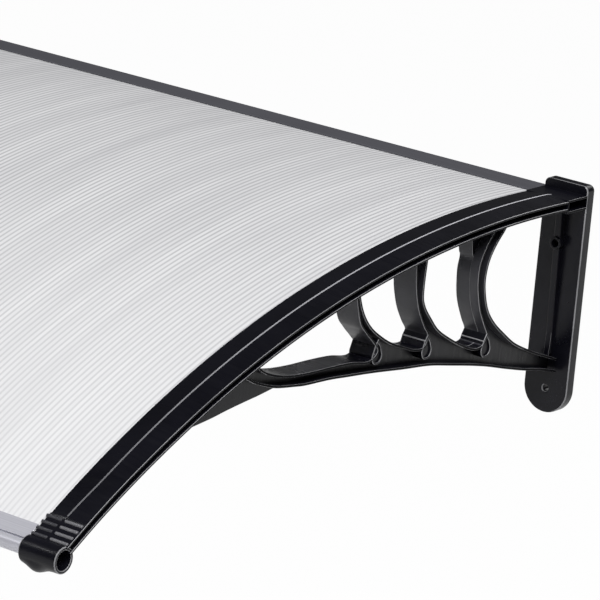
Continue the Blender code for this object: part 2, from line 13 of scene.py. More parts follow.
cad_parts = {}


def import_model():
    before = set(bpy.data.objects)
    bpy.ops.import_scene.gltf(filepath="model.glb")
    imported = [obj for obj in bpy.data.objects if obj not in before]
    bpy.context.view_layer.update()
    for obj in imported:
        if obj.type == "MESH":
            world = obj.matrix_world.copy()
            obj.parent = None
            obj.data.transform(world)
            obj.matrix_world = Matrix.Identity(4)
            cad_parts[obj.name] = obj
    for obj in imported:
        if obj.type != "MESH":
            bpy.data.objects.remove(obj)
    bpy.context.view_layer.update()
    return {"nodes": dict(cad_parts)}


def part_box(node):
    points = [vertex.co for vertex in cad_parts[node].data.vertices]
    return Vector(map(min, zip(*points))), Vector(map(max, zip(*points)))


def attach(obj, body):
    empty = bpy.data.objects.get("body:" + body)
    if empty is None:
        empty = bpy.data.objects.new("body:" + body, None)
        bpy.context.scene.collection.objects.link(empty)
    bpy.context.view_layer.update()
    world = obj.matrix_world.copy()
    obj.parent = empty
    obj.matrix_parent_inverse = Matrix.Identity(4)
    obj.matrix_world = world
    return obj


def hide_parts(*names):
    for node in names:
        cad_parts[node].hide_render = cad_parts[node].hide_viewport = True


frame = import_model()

# Places that come from the frame
plate_low, plate_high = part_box("bracket_right")
BRACKET_X = (plate_low.x + plate_high.x) / 2
PLATE_WIDTH = plate_high.x - plate_low.x
PLATE_TOP = plate_high.z
PLATE_HEIGHT = plate_high.z - plate_low.z
bar_low, bar_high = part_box("rear_bar")
BAR_HALF = bar_high.x
BAR_DEPTH = -bar_low.y
BAR_TOP = bar_high.z
BAR_LOW = bar_low.z

# Roof arc
ARC_RUN = 0.794
ARC_HEIGHT = 0.0044
WALL_SLOPE = radians(-2.9)
WALL_RADIUS = 1.426
FRONT_RADIUS = 1.056
ARC_STEP = 0.0005
ARC_BEHIND = 40
OUTLINE_STEP = 0.008

# Wall plate
PLATE_THICKNESS = 0.012
PLATE_CORNER = 0.006
PLATE_EDGE = 0.0010
PLATE_END_STEPS = 40
PLATE_CORNER_STEPS = 8
UPPER_HOLE_DROP = 0.0609
UPPER_HOLE_RADIUS = 0.004
LOWER_HOLE_DROP = 0.2117
LOWER_HOLE_RADIUS = 0.0035
HOLE_SIDES = 40
BOSS_RADIUS = 0.0065
BOSS_REACH = 0.010
BOSS_EDGE = 0.0008
BOSS_MOUTH_EDGE = 0.0006
RIB_WIDTH = 0.007
RIB_REACH_TOP = 0.009
RIB_REACH_LOW = 0.003
RIB_LENGTH = 0.156
RIB_EDGE = 0.0007
RIB_IN_BEAM = 0.001
RIB_END = 0.006
RIB_TIP = 0.002
RIB_TIP_SETBACK = 0.001
INSIDE = 0.004

# Roof beam
BEAM_WIDTH_WALL = 0.0506
BEAM_WIDTH_FRONT = 0.0405
FLANGE = 0.0021
SLOT_HEIGHT = 0.0051
BEAM_DEPTH = 2 * FLANGE + SLOT_HEIGHT
BEAM_WEB = 0.008
BEAM_EDGE = 0.0005
CREASE_HEIGHT = 0.0022
CREASE_STARTS = 0.015
CREASE_FULL = 0.033
CREASE_ENDS = 0.757
CREASE_FADE = 0.004
CREASE_LEAST = 0.02
CREASE_EDGE = 0.0009
CREASE_DRIFT = 0.0024
CREASE_DRIFT_RUN = (0.70, 0.765)
BEAM_DRIFT = 0.0009
BEAM_DRIFT_RUN = (0.62, 0.76)
BEAM_STATIONS = 84
BEAM_END = 0.786
CROWN_START = 0.012
CROWN_LENGTH = 0.020
CROWN_STATIONS = 5
CROWN_INSET = 0.001

# Block with the pockets for the rear bar
BLOCK_REACH = 0.032
POCKET_REACH = 0.030
BLOCK_WALL = 0.0022
BLOCK_INSET = 0.0002
BLOCK_EDGE = 0.0004
BLOCK_OVERLAP = 0.0003
GAP = 0.0003

# Nose and grip ridges
NOSE_RADIUS = 0.0123
NOSE_INNER = 0.0240
NOSE_OUTER = 0.0178
NOSE_DROP = 0.0085
NOSE_EDGE = 0.0009
NOSE_STATIONS = 16
NOSE_SIDES = 72
BORE_RADIUS = 0.0093
BORE_MOUTH_EDGE = 0.7 * NOSE_EDGE
BORE_STEP_EDGE = 0.0004
KNOB_LEAST_RADIUS = BORE_RADIUS + 0.0012
KNOB_RADIUS = 0.0112
KNOB_DROP = 0.0064
KNOB_MIDDLE = -0.0088
KNOB_SPREAD = 0.010
RIDGE_COUNT = 4
RIDGE_PITCH = 0.0073
RIDGE_RADIUS = 0.0017
RIDGE_EDGE = 0.0011
RIDGE_SIDES = 24
RIDGE_SUNK = 0.0003
RIDGE_INNER_LENGTH = 0.0177
RIDGE_OUTER_LENGTH = 0.0201
RIDGE_SETBACK = 0.0110
PAD_LENGTH = 0.037
PAD_INNER = 0.0225
PAD_THICKNESS = 0.0018
PAD_SUNK = 0.0002
PAD_STATIONS = 6

# Lattice
LATTICE_WIDTH = 0.027
LATTICE_DEPTH = 0.180
LATTICE_WEB = 0.006
LATTICE_FLANGE = 0.0024
LATTICE_EDGE = 0.00045
LATTICE_IN_BEAM = 0.0004
REAR_OPENING_LID = -0.0036
GUSSET_THICKNESS = 0.0056
FOOT_RADIUS = 0.0084
FOOT_ARC_START = radians(150)
FOOT_ARC_TURN = radians(240)
FOOT_ARC_STEPS = 40
FOOT_SHOULDER = (0.0046, 0.0110)
FOOT_PEAK = (0.0004, 0.0170)
FOOT_EDGE = 0.0005
FOOT_PROUD = 0.0001
FOOT_HOLE_DEPTH = 0.002
FOOT_HOLE_SHARE = 0.74
FOOT_LINE_RADIUS = 0.0008
FOOT_LINE_EDGE = 0.0003
FOOT_LINE_SIDES = 12
FOOT_LINE_SETBACK = 0.0004
CURVE_STEPS = 6

# Openings of the lattice and its outer edges, as shares of ARC_RUN and LATTICE_DEPTH
OPENING_REAR = [
    (0.139, 0.020), (0.149, 0.089), (0.166, 0.161), (0.179, 0.239), (0.185, 0.333), (0.183, 0.422),
    (0.175, 0.517), (0.159, 0.600), (0.134, 0.683), (0.103, 0.767), (0.057, 0.844), (0.021, 0.889),
    (-0.005, 0.920)]
OPENING_SECOND = [
    (0.204, 0.020), (0.199, 0.183), (0.196, 0.225), (0.200, 0.300), (0.199, 0.420), (0.194, 0.500),
    (0.184, 0.590), (0.175, 0.660), (0.183, 0.706), (0.199, 0.711), (0.220, 0.678), (0.243, 0.628),
    (0.266, 0.567), (0.285, 0.506), (0.300, 0.428), (0.314, 0.335), (0.316, 0.245), (0.306, 0.020)]
# The second opening's rim on the bracket's outer side, where the strut's front is set back at the top
SECOND_NEAR = [
    (0.158, 0.020), (0.1759, 0.0907), (0.1899, 0.1625), (0.1999, 0.2378), (0.2025, 0.310),
    (0.2015, 0.386), (0.195, 0.500), *OPENING_SECOND[6:]]
OPENING_THIRD = [
    (0.332, 0.020), (0.333, 0.194), (0.331, 0.283), (0.326, 0.367), (0.316, 0.456), (0.308, 0.515),
    (0.315, 0.567), (0.334, 0.556), (0.358, 0.506), (0.382, 0.450), (0.402, 0.385), (0.422, 0.300),
    (0.435, 0.205), (0.441, 0.100), (0.440, 0.020)]
OPENING_FRONT = [
    (0.450, 0.020), (0.446, 0.222), (0.435, 0.311), (0.422, 0.385), (0.413, 0.450), (0.432, 0.474),
    (0.465, 0.422), (0.504, 0.372), (0.547, 0.317), (0.583, 0.256), (0.610, 0.189), (0.630, 0.111),
    (0.640, 0.020)]
# Each opening with the side of its line, left or right, that its rim is on
OPENINGS = [(OPENING_REAR, 1), (OPENING_SECOND, -1), (OPENING_THIRD, -1), (OPENING_FRONT, -1)]
LOWER_EDGE = [
    (-0.006, 1.000), (0.035, 0.967), (0.078, 0.939), (0.125, 0.894), (0.173, 0.839), (0.249, 0.756),
    (0.301, 0.694), (0.351, 0.644), (0.389, 0.600), (0.467, 0.500), (0.510, 0.439), (0.555, 0.378),
    (0.577, 0.339), (0.607, 0.278), (0.625, 0.228), (0.645, 0.161), (0.661, 0.089), (0.668, 0.055)]
GUSSET_EDGE = [
    (0.580, 0.325), (0.621, 0.294), (0.644, 0.272), (0.686, 0.228), (0.713, 0.200), (0.746, 0.156),
    (0.777, 0.106), (0.801, 0.055)]
GUSSET_REAR = [(0.645, 0.075), (0.632, 0.140), (0.612, 0.215), (0.592, 0.275)]
# Middles of the eyelets at the struts' feet, and of the fold lines beside them
FEET = [(0.1742, 0.741), (0.3090, 0.600), (0.4140, 0.4765)]
FOOT_LINES = [(0.1803, 0.690), (0.3135, 0.537), (0.4195, 0.4555)]

# Twin-wall sheet
SHEET_THICKNESS = 0.0045
SHEET_SKIN = 0.0005
FLUTE_PITCH = 0.006
FLUTE_WEB = 0.0005
SHEET_SIDE_PLAY = 0.001
SHEET_END_PLAY = 0.0005
SHEET_STATIONS = 36
SHEET_SHARP = radians(30)

# Bars
BAR_BACK_WALL = 0.0016
BAR_TOP_LIP = 0.0010
BAR_LOWER_LIP = 0.0011
BAR_STOP_WALL = 0.0016
BAR_EDGE = 0.0003
BAR_LIP_OVERLAP = 0.001
FRONT_LIP = 0.0130
FRONT_LIP_THICKNESS = 0.0011
FRONT_BACK_WALL = 0.0035
FRONT_SETBACK = 0.0047
TUBE_RADIUS = 0.007
TUBE_WALL = 0.0014
TUBE_EDGE = 0.0004
TUBE_SIDES = 64

# Places along Y between which the painted highlight on the crease is fading and the sheet gets paler, and
# the paler end's share
HIGHLIGHT_FADE_DEPTH = (-0.70, -0.06)
PALE_DEPTH = (-0.74, -0.34)
PALE_SHARE = 0.62
# Distances from a web, as shares of the flute pitch, between which its grey line of painted shade is fading
# out
FLUTE_SHADE_LINE = (0.05, 0.30)

# Camera, floor and light
CAMERA_PLACE = (2.773462, -3.407579, 1.016932)
CAMERA_YAW = -0.636471
CAMERA_PITCH = -0.276328
CAMERA_ROLL = 0.088505
CAMERA_LENS = 255.127
CAMERA_SENSOR = 36.0
CAMERA_REACH = (0.5, 80.0)
FLOOR_HEIGHT = -1.1
FLOOR_SIZE = 60.0
FLOOR_COLOUR = (0.90, 0.90, 0.90)
FLOOR_GLOW = 0.975
WORLD_STRENGTH = 0.06
LAMP_TARGET = (0.3, -0.4, 0.0)
# Name, place, size and power
LAMPS = [
    ("key", (2.3, -2.7, 3.7), (3.0, 3.0), 278.0),
    ("side", (-2.9, -2.6, 3.1), (0.5, 0.5), 26.0),
    ("rim", (0.9, 3.0, 2.6), (2.6, 1.2), 60.0)]

# Drawn x is out from the wall, drawn y is up, drawn z is across the canopy
SIDE = Matrix(((0, 0, -1, 0), (-1, 0, 0, 0), (0, 1, 0, 0), (0, 0, 0, 1)))
# Drawn x is across, drawn y is up, drawn z is towards the front
FRONT = Matrix(((1, 0, 0, 0), (0, 0, -1, 0), (0, 1, 0, 0), (0, 0, 0, 1)))
# A lathe's axis x turned to point out from the wall
AXIS_OUT = Matrix(((0, 1, 0, 0), (-1, 0, 0, 0), (0, 0, 1, 0), (0, 0, 0, 1)))

# Material slots: the body, a painted highlight on the edges (on the sheet, the webs' painted shade), a
# painted highlight on the crease and outer grip ridges, painted shade on the sides, and painted soft light
# on the fronts
BODY, PAINTED_EDGE_LIGHT, PAINTED_CREST_HIGHLIGHT, PAINTED_SIDE_SHADE, PAINTED_SOFT_LIGHT = range(5)

# Which way a prism's faces look, as parts of their unit normals
SQUARE_TO_SIDE = 0.97
ROUNDED_EDGE = 0.2
UP_OR_DOWN = 0.45
OUTWARDS = 0.15
FRONT_FACING = 0.4

# Shared by all shapes
HIDDEN_EDGE = 0.0002
ROUNDING_STEPS = 3
MERGE = 1e-6
ON_AXIS = 1e-9
SHARP = radians(48)


def arc_table():
    """Places along the roof arc, from a little behind the wall plate's face to past the nose."""
    change = 1 / FRONT_RADIUS - 1 / WALL_RADIUS

    def slope(at):
        return WALL_SLOPE + at / WALL_RADIUS + change * at * at / (2 * ARC_RUN)

    def walk(step, count):
        out, up, places = PLATE_THICKNESS, ARC_HEIGHT, []
        for index in range(count):
            middle = slope((index + 0.5) * step)
            out += cos(middle) * step
            up -= sin(middle) * step
            places.append((out, up, slope((index + 1) * step)))
        return places

    behind = walk(-ARC_STEP, ARC_BEHIND)
    ahead = walk(ARC_STEP, round(ARC_RUN / ARC_STEP) + ARC_BEHIND)
    return behind[::-1] + [(PLATE_THICKNESS, ARC_HEIGHT, WALL_SLOPE)] + ahead


ARC = arc_table()


def on_arc(run, above=0.0):
    place = run / ARC_STEP + ARC_BEHIND
    index = max(0, min(int(place), len(ARC) - 2))
    share = place - index
    out, up, slope = (a + share * (b - a) for a, b in zip(ARC[index], ARC[index + 1]))
    return out + above * sin(slope), up + above * cos(slope)


def smooth(points):
    """A curve through the points, with a few steps between each two."""
    before = [tuple(2 * a - b for a, b in zip(points[0], points[1]))]
    after = [tuple(2 * a - b for a, b in zip(points[-1], points[-2]))]
    padded = before + list(points) + after
    curve = []
    for p0, p1, p2, p3 in zip(padded, padded[1:], padded[2:], padded[3:]):
        for step in range(CURVE_STEPS):
            t = step / CURVE_STEPS
            curve.append(tuple(
                0.5 * (2 * b + (c - a) * t + (2 * a - 5 * b + 4 * c - d) * t * t
                       + (3 * b - a - 3 * c + d) * t ** 3)
                for a, b, c, d in zip(p0, p1, p2, p3)))
    return curve + [tuple(points[-1])]


def beside(curve, distance):
    """The curve moved sideways, to its left where distance is positive."""
    moved = []
    for index, (x, y) in enumerate(curve):
        ahead = curve[min(index + 1, len(curve) - 1)]
        behind = curve[max(index - 1, 0)]
        dx, dy = ahead[0] - behind[0], ahead[1] - behind[1]
        length = hypot(dx, dy)
        moved.append((x - distance * dy / length, y + distance * dx / length))
    return moved


def lattice_line(shares, highest=None):
    """A smooth line of the lattice in the side view, cut off where it would pass a height above the arc."""
    line = smooth([(a * ARC_RUN, -b * LATTICE_DEPTH) for a, b in shares])
    if highest is not None:
        kept = []
        for here, there in zip(line, line[1:]):
            if here[1] <= highest:
                kept.append(here)
            if (here[1] <= highest) != (there[1] <= highest):
                share = (highest - here[1]) / (there[1] - here[1])
                kept.append((here[0] + share * (there[0] - here[0]), highest))
        if line[-1][1] <= highest:
            kept.append(line[-1])
        line = kept
    return [on_arc(run, above) for run, above in line]


def along_arc(start, end, above):
    count = max(2, round(abs(end - start) / OUTLINE_STEP))
    return [on_arc(start + (end - start) * index / count, above) for index in range(count + 1)]


def shifted(placed, x=0.0, y=0.0, z=0.0):
    return Matrix.Translation((x, y, z)) @ placed


def finished(shape, name):
    """A closed shape as a mesh, with its faces turned outwards."""
    bmesh.ops.remove_doubles(shape, verts=shape.verts, dist=MERGE)
    bmesh.ops.recalc_face_normals(shape, faces=shape.faces)
    mesh = bpy.data.meshes.new(name)
    shape.to_mesh(mesh)
    shape.free()
    return mesh


def prism(outlines, half, placed, edge, sides=BODY, front_lines=True, front=BODY):
    """A flat outline, or one with holes, thickened both ways, with rounded edges.

    The edges that look up, down or along drawn x get the edge slot's painted highlight. Faces that look
    along it get the front's slot.
    """
    curve = bpy.data.curves.new("outline", "CURVE")
    curve.dimensions = "2D"
    curve.fill_mode = "BOTH"
    curve.extrude = half - edge
    curve.bevel_depth = edge
    curve.bevel_resolution = 1
    curve.offset = -edge
    for outline in outlines:
        spline = curve.splines.new("POLY")
        spline.points.add(len(outline) - 1)
        for point, (x, y) in zip(spline.points, outline):
            point.co = (x, y, 0, 1)
        spline.use_cyclic_u = True
    drawn = bpy.data.objects.new("outline", curve)
    bpy.context.scene.collection.objects.link(drawn)
    bpy.context.view_layer.update()
    flat = bpy.data.meshes.new_from_object(drawn.evaluated_get(bpy.context.evaluated_depsgraph_get()))
    bpy.data.objects.remove(drawn, do_unlink=True)
    shape = bmesh.new()
    shape.from_mesh(flat)
    bmesh.ops.remove_doubles(shape, verts=shape.verts, dist=MERGE)
    bmesh.ops.recalc_face_normals(shape, faces=shape.faces)
    for face in shape.faces:
        x, y, z = face.normal
        # Sides take their slot (painted shade where it is given), rounded edges the painted edge highlight,
        # fronts the front's slot
        if abs(z) >= SQUARE_TO_SIDE:
            face.material_index = sides
        elif abs(z) > ROUNDED_EDGE:
            if abs(y) > UP_OR_DOWN or (front_lines and x > OUTWARDS):
                face.material_index = PAINTED_EDGE_LIGHT
        elif x > FRONT_FACING:
            face.material_index = front
    bmesh.ops.transform(shape, matrix=placed, verts=shape.verts)
    return finished(shape, "prism")


def rounded(corners, cuts):
    """A closed outline with its corners rounded, and a material slot for each of its sides."""
    points, sides = [], []
    count = len(corners)
    for index, corner in enumerate(corners):
        cut = cuts[index]
        here = Vector(corner)
        if cut <= 0.0:
            points.append(tuple(here))
            sides.append(BODY)
            continue
        start = here + (Vector(corners[index - 1]) - here).normalized() * cut
        end = here + (Vector(corners[(index + 1) % count]) - here).normalized() * cut
        for step in range(ROUNDING_STEPS + 1):
            t = step / ROUNDING_STEPS
            points.append(tuple(start * (1 - t) ** 2 + here * 2 * t * (1 - t) + end * t * t))
            # The rounding steps take the edge slot: a painted highlight
            sides.append(PAINTED_EDGE_LIGHT if step < ROUNDING_STEPS else BODY)
    return points, sides


def swept(section_at, stations):
    """A closed section carried along stations of the roof arc, with flat ends."""
    shape = bmesh.new()
    rings, marks = [], []
    for at in stations:
        points, sides = section_at(at)
        marks.append(sides)
        rings.append([shape.verts.new(place_on_arc(at, a, b)) for a, b in points])
    count = len(rings[0])
    for ring, following, sides in zip(rings, rings[1:], marks):
        for index in range(count):
            other = (index + 1) % count
            face = shape.faces.new((ring[index], ring[other], following[other], following[index]))
            face.material_index = sides[index]
    shape.faces.new(rings[0])
    shape.faces.new(rings[-1])
    return finished(shape, "swept")


def lathe(corners, cuts, placed, sides, reshape=None):
    """A section (along the axis, radius) turned about the axis, which is drawn x."""
    points, marks = rounded(corners, cuts)
    shape = bmesh.new()
    rings = []
    for side in range(sides):
        angle = 2 * pi * side / sides
        ring = []
        for along, radius in points:
            if reshape:
                radius = reshape(along, radius, angle)
            ring.append(shape.verts.new((along, radius * cos(angle), radius * sin(angle))))
        rings.append(ring)
    count = len(points)
    for side in range(sides):
        ring, following = rings[side], rings[(side + 1) % sides]
        for index in range(count):
            other = (index + 1) % count
            if points[index][1] < ON_AXIS and points[other][1] < ON_AXIS:
                continue
            face = shape.faces.new((ring[index], ring[other], following[other], following[index]))
            face.material_index = marks[index]
    bmesh.ops.transform(shape, matrix=placed, verts=shape.verts)
    bmesh.ops.remove_doubles(shape, verts=shape.verts, dist=MERGE)
    bmesh.ops.dissolve_degenerate(shape, edges=shape.edges, dist=MERGE)
    return finished(shape, "lathe")


def circle(x, y, radius):
    angles = [2 * pi * side / HOLE_SIDES for side in range(HOLE_SIDES)]
    return [(x + radius * cos(angle), y + radius * sin(angle)) for angle in angles]


def gathered(name, meshes, materials):
    """Several closed shapes as one mesh."""
    shape = bmesh.new()
    for mesh in meshes:
        shape.from_mesh(mesh)
        bpy.data.meshes.remove(mesh)
    return dressed(name, shape, materials, SHARP)


def dressed(name, shape, materials, sharp):
    """A shape as a mesh with its materials, smooth but for edges sharper than an angle."""
    mesh = bpy.data.meshes.new(name)
    shape.to_mesh(mesh)
    shape.free()
    for material in materials:
        mesh.materials.append(material)
    mesh.shade_smooth()
    mesh.set_sharp_from_angle(angle=sharp)
    return mesh


def piece(name, mesh, node, x=0.0):
    obj = bpy.data.objects.new(name, mesh)
    obj.location.x = x
    bpy.context.scene.collection.objects.link(obj)
    weighted = obj.modifiers.new("flat_faces", "WEIGHTED_NORMAL")
    weighted.keep_sharp = True
    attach(obj, "root")
    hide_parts(node)
    return obj


def beam_half(run):
    return (BEAM_WIDTH_WALL + (BEAM_WIDTH_FRONT - BEAM_WIDTH_WALL) * max(0.0, run) / ARC_RUN) / 2


def crease_height(run):
    rising = (run - CREASE_STARTS) / (CREASE_FULL - CREASE_STARTS)
    falling = (CREASE_ENDS + CREASE_FADE - run) / CREASE_FADE
    return CREASE_HEIGHT * max(CREASE_LEAST, min(1.0, rising, falling))


def eased(value, start, end):
    """0 up to the start, 1 from the end on, and a soft change between them."""
    share = max(0.0, min(1.0, (value - start) / (end - start)))
    return share * share * (3 - 2 * share)


def beam_section(run):
    """Section of the roof beam: a crowned top, a slot in each side and a flat underside."""
    half = beam_half(run)
    peak = -CREASE_DRIFT * eased(run, *CREASE_DRIFT_RUN)
    drift = BEAM_DRIFT * eased(run, *BEAM_DRIFT_RUN)
    left, right = -half - drift, half - drift
    web, roof, floor = BEAM_WEB / 2, -FLANGE, -FLANGE - SLOT_HEIGHT
    corners = [
        (left, -BEAM_DEPTH), (right, -BEAM_DEPTH), (right, floor), (web, floor), (web, roof), (right, roof),
        (right, 0), (peak, crease_height(run)), (left, 0), (left, roof), (-web, roof), (-web, floor),
        (left, floor)]
    edge, inner = BEAM_EDGE, 0.0
    cuts = [edge, edge, edge, inner, inner, edge, edge, CREASE_EDGE, edge, edge, inner, inner, edge]
    points, sides = rounded(corners, cuts)
    for index, (x, above) in enumerate(points):
        following = points[(index + 1) % len(points)]
        # Upright side faces get painted shade, the crease a painted highlight; only the outer side's top
        # edges keep the painted edge highlight
        if sides[index] == BODY:
            upright = abs(following[0] - x) < MERGE and abs(x) > BEAM_WEB
            sides[index] = PAINTED_SIDE_SHADE if upright else BODY
        elif abs(x - peak) < 2 * CREASE_EDGE and above > 0:
            sides[index] = PAINTED_CREST_HIGHLIGHT if run < CREASE_ENDS - CREASE_FADE else BODY
        elif x < 0 or not (abs(above) < 2 * edge or abs(above - floor) < 2 * edge):
            sides[index] = BODY
    return points, sides


def beam_stations():
    even = [POCKET_REACH + (BEAM_END - POCKET_REACH) * index / BEAM_STATIONS
            for index in range(BEAM_STATIONS + 1)]
    return sorted(even + [CREASE_FULL, CREASE_ENDS, CREASE_ENDS + CREASE_FADE])


def crown_section(run):
    """The beam's crown where it runs on over the wall block."""
    half = beam_half(run) - CROWN_INSET
    points, sides = rounded([(-half, 0), (half, 0), (0, crease_height(run))], [0, 0, CREASE_EDGE])
    # The rounded crease gets the painted highlight
    return points, [PAINTED_CREST_HIGHLIGHT if side == PAINTED_EDGE_LIGHT else BODY for side in sides]


def pad_section(run):
    """The beam's top where it widens on the inner side, under the grip ridges."""
    top = -PAD_SUNK
    low = top - PAD_THICKNESS
    return rounded([(-PAD_INNER, low), (0, low), (0, top), (-PAD_INNER, top)], [BEAM_EDGE, 0, 0, BEAM_EDGE])


def place_on_arc(run, across, above):
    out, up = on_arc(run, above)
    return across, -out, up


def plate_outline():
    """The plate from the front: a round lower end and two small corners at the top."""
    half = PLATE_WIDTH / 2
    centre = PLATE_TOP - PLATE_HEIGHT + half
    angles = [pi * index / PLATE_END_STEPS for index in range(PLATE_END_STEPS + 1)]
    outline = [(half * cos(angle), centre - half * sin(angle)) for angle in angles]
    for side in (-1, 1):
        start = pi if side < 0 else pi / 2
        for index in range(PLATE_CORNER_STEPS + 1):
            angle = start - index * pi / (2 * PLATE_CORNER_STEPS)
            outline.append((side * (half - PLATE_CORNER) + PLATE_CORNER * cos(angle),
                            PLATE_TOP - PLATE_CORNER + PLATE_CORNER * sin(angle)))
    return outline


def wall_plate():
    """Plate with its two screw holes, the boss round the upper one and the rib."""
    upper = PLATE_TOP - UPPER_HOLE_DROP
    lower = PLATE_TOP - LOWER_HOLE_DROP
    holes = [circle(0, upper, UPPER_HOLE_RADIUS), circle(0, lower, LOWER_HOLE_RADIUS)]
    # The plate's rounded edges carry the painted edge highlight; the boss and ribs stay plain body
    body = prism([plate_outline(), *holes], PLATE_THICKNESS / 2,
                 shifted(FRONT, y=-PLATE_THICKNESS / 2), PLATE_EDGE)
    start, end = PLATE_THICKNESS - INSIDE, PLATE_THICKNESS + BOSS_REACH
    ring = [(start, UPPER_HOLE_RADIUS), (end, UPPER_HOLE_RADIUS), (end, BOSS_RADIUS), (start, BOSS_RADIUS)]
    cuts = [0, BOSS_MOUTH_EDGE, BOSS_EDGE, 0]
    boss = painted(lathe(ring, cuts, shifted(AXIS_OUT, z=upper), HOLE_SIDES), BODY)
    top = ARC_HEIGHT - BEAM_DEPTH
    face = PLATE_THICKNESS
    low = top - RIB_LENGTH

    def reach(up):
        share = (top - up) / RIB_LENGTH
        return face + RIB_REACH_TOP + (RIB_REACH_LOW - RIB_REACH_TOP) * share

    inside_ring = (UPPER_HOLE_RADIUS + BOSS_RADIUS) / 2
    above, below = upper + inside_ring, upper - inside_ring
    root, lid, end = face - INSIDE, top + RIB_IN_BEAM, low + RIB_END
    ribs = [
        [(root, lid), (reach(top), lid), (reach(above), above), (root, above)],
        [(root, below), (reach(below), below), (reach(end), end),
         (reach(low) - RIB_TIP_SETBACK, low + RIB_TIP), (root, low)]]
    return [body, boss] + [painted(prism([rib], RIB_WIDTH / 2, SIDE, RIB_EDGE), BODY) for rib in ribs]


def wall_block():
    """Block between the plate and the beam, with a pocket each side for the rear bar's end."""
    half = PLATE_WIDTH / 2 - BLOCK_INSET
    low, high = BAR_LOW - GAP - BLOCK_WALL, BAR_TOP + GAP + BLOCK_WALL
    start, end = PLATE_THICKNESS - INSIDE, PLATE_THICKNESS + BLOCK_REACH
    outer = [(start, low), (end, low), (end, high), (start, high)]
    pocket = [(PLATE_THICKNESS, BAR_LOW - GAP), (PLATE_THICKNESS + POCKET_REACH, BAR_LOW - GAP),
              (PLATE_THICKNESS + POCKET_REACH, BAR_TOP + GAP), (PLATE_THICKNESS, BAR_TOP + GAP)]
    middle = (BEAM_WEB / 2 + half) / 2
    depth = half - BEAM_WEB / 2
    made = [prism([outer], BEAM_WEB / 2, SIDE, HIDDEN_EDGE)]
    for side in (-1, 1):
        placed = shifted(SIDE, x=side * (middle - BLOCK_OVERLAP))
        # The pocketed parts' sides get painted shade
        made.append(prism([outer, pocket], depth / 2 + BLOCK_OVERLAP, placed, BLOCK_EDGE, PAINTED_SIDE_SHADE, False))
    return made


def nose_reshape(along, radius, angle):
    """The nose bulges downwards into a soft knob."""
    under = -sin(angle)
    if radius < KNOB_LEAST_RADIUS or under <= 0.0:
        return radius
    knob = KNOB_DROP * under + sqrt(KNOB_RADIUS ** 2 - KNOB_DROP ** 2 * (1 - under * under))
    share = exp(-((along - KNOB_MIDDLE) / KNOB_SPREAD) ** 2)
    return radius + max(0.0, knob - NOSE_RADIUS) * share


def across(centre):
    """Where a lathe with its axis across the canopy goes."""
    out, up = centre
    return Matrix.Translation((0, -out, up))


def nose():
    """Round end with the tube's bore, the pad behind it and two rows of grip ridges on top."""
    web, hole, step = BEAM_WEB / 2, TUBE_RADIUS + GAP, (NOSE_INNER + NOSE_OUTER) / NOSE_STATIONS
    corners = [(-NOSE_INNER + step * index, NOSE_RADIUS) for index in range(NOSE_STATIONS + 1)]
    corners += [
        (NOSE_OUTER, BORE_RADIUS), (web, BORE_RADIUS), (web, hole), (-web, hole), (-web, BORE_RADIUS),
        (-NOSE_INNER, BORE_RADIUS)]
    cuts = [NOSE_EDGE] + [0] * (NOSE_STATIONS - 1)
    cuts += [NOSE_EDGE, BORE_MOUTH_EDGE, 0, BORE_STEP_EDGE, BORE_STEP_EDGE, 0, BORE_MOUTH_EDGE]
    made = [lathe(corners, cuts, across(on_arc(ARC_RUN, -NOSE_DROP)), NOSE_SIDES, nose_reshape)]
    pad_runs = [ARC_RUN - PAD_LENGTH * index / PAD_STATIONS for index in range(PAD_STATIONS, 0, -1)]
    made.append(swept(pad_section, pad_runs))
    inner, outer = GAP - NOSE_INNER, NOSE_OUTER - GAP
    # The inner row of ridges gets painted soft light, the outer row a painted highlight
    rows = [(inner, inner + RIDGE_INNER_LENGTH, PAINTED_SOFT_LIGHT), (outer - RIDGE_OUTER_LENGTH, outer, PAINTED_CREST_HIGHLIGHT)]
    for index in range(RIDGE_COUNT):
        run = ARC_RUN - RIDGE_SETBACK - index * RIDGE_PITCH
        for low, high, slot in rows:
            reach = (high - low) / 2
            ridge = [(-reach, 0), (-reach, RIDGE_RADIUS), (reach, RIDGE_RADIUS), (reach, 0)]
            placed = shifted(across(on_arc(run, -RIDGE_SUNK)), x=(low + high) / 2)
            made.append(painted(lathe(ridge, [0, RIDGE_EDGE, RIDGE_EDGE, 0], placed, RIDGE_SIDES), slot))
    return made


def painted(mesh, slot):
    for face in mesh.polygons:
        face.material_index = slot
    return mesh


